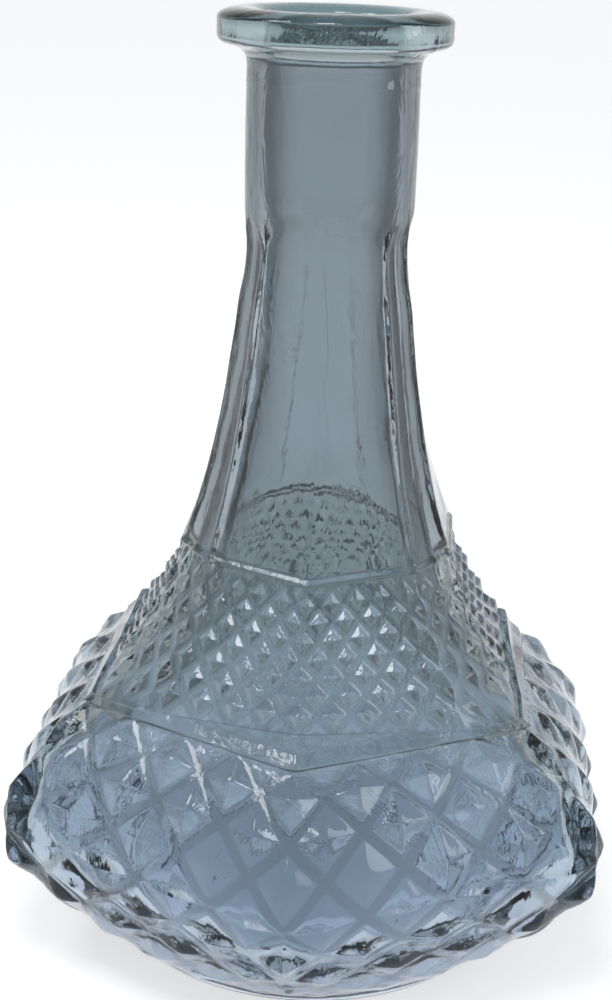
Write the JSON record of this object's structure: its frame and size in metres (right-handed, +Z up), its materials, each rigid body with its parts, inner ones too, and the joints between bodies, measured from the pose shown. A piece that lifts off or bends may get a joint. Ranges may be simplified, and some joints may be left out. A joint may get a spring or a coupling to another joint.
{
  "type": "glass decanter",
  "caption": "Tall glass decanter with a wide round collar, a panelled neck that flares out and a six-cornered bowl cut all over with diamonds.",
  "frame": {"origin": "centre of the foot, on the plane that the foot stands on", "axes": "+Z up along the neck's axis, -Y towards the front corner of the bowl, so the front corner, its two neighbours and their opposites lie on the corner planes at 0, 60 and 120 degrees"},
  "size_m": [0.1732, 0.1944, 0.27],
  "materials": {
    "glass_vessel": "polished"
  },
  "bodies": {
    "root": {"glass_vessel": "glass_vessel"}
  },
  "joints": []
}
